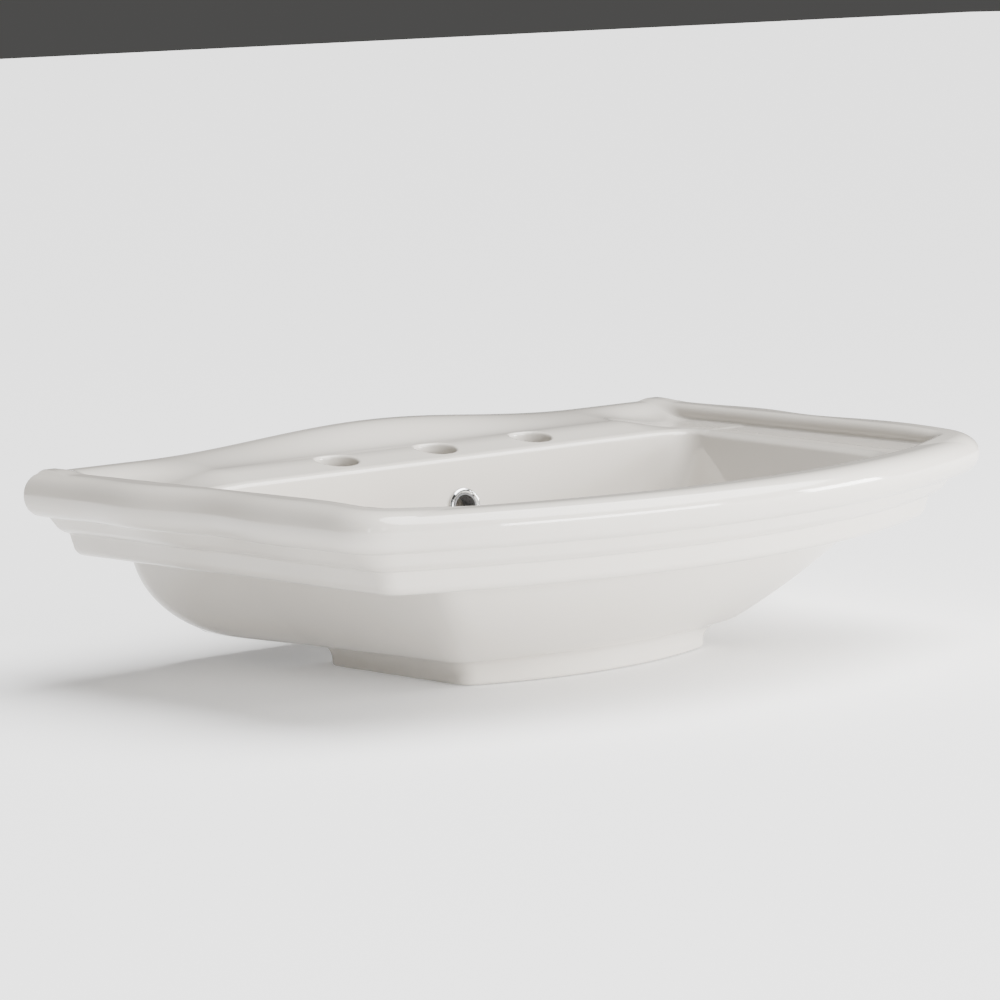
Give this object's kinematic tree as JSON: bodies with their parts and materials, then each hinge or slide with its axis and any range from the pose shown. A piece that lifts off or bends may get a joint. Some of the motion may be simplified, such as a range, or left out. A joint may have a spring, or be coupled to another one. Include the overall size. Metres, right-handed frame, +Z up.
{
  "type": "pedestal sink basin",
  "caption": "Wide china basin for a pedestal, with rolled rim, stepped mouldings, faucet deck, overflow and push-to-open waste.",
  "frame": {"origin": "below the middle of the bounding box, on the foot's underside", "axes": "+X along the wall to the user's right, -Y towards the user, +Z up"},
  "size_m": [0.6848, 0.5184, 0.182],
  "materials": {
    "china": "clear gloss glaze",
    "ring_chrome": "polished",
    "overflow_rubber": "matt",
    "sleeve_plastic": "moulded",
    "waste_brass": "polished plating over brass",
    "strainer_brass": "cast",
    "flange_rubber": "matt",
    "gasket_rubber": "matt",
    "washer_plastic": "moulded",
    "nut_brass": "machined",
    "cap_chrome": "polished",
    "seal_rubber": "matt",
    "plunger_steel": "turned",
    "rotor_plastic": "moulded",
    "latch_brass": "machined",
    "spring_steel": "drawn wire"
  },
  "bodies": {
    "basin_body": {"basin": "china", "overflow_ring": "ring_chrome", "overflow_gasket": "overflow_rubber", "overflow_sleeve": "sleeve_plastic", "waste_body": "waste_brass", "strainer": "strainer_brass", "flange_gasket": "flange_rubber", "bottom_gasket": "gasket_rubber", "slip_washer": "washer_plastic", "locknut": "nut_brass", "latch_sleeve": "latch_brass", "latch_spring": "spring_steel"},
    "stopper": {"stopper_cap": "cap_chrome", "stopper_seal": "seal_rubber", "plunger": "plunger_steel", "latch_rotor": "rotor_plastic"}
  },
  "joints": [
    {"name": "stopper_slide", "type": "slide", "parent": "basin_body", "child": "stopper", "axis": [0, 0, 1], "range_m": [-0.009, 0], "stiffness_N_per_m": 400, "springref_m": 0.008, "deforming": ["latch_spring"]}
  ]
}
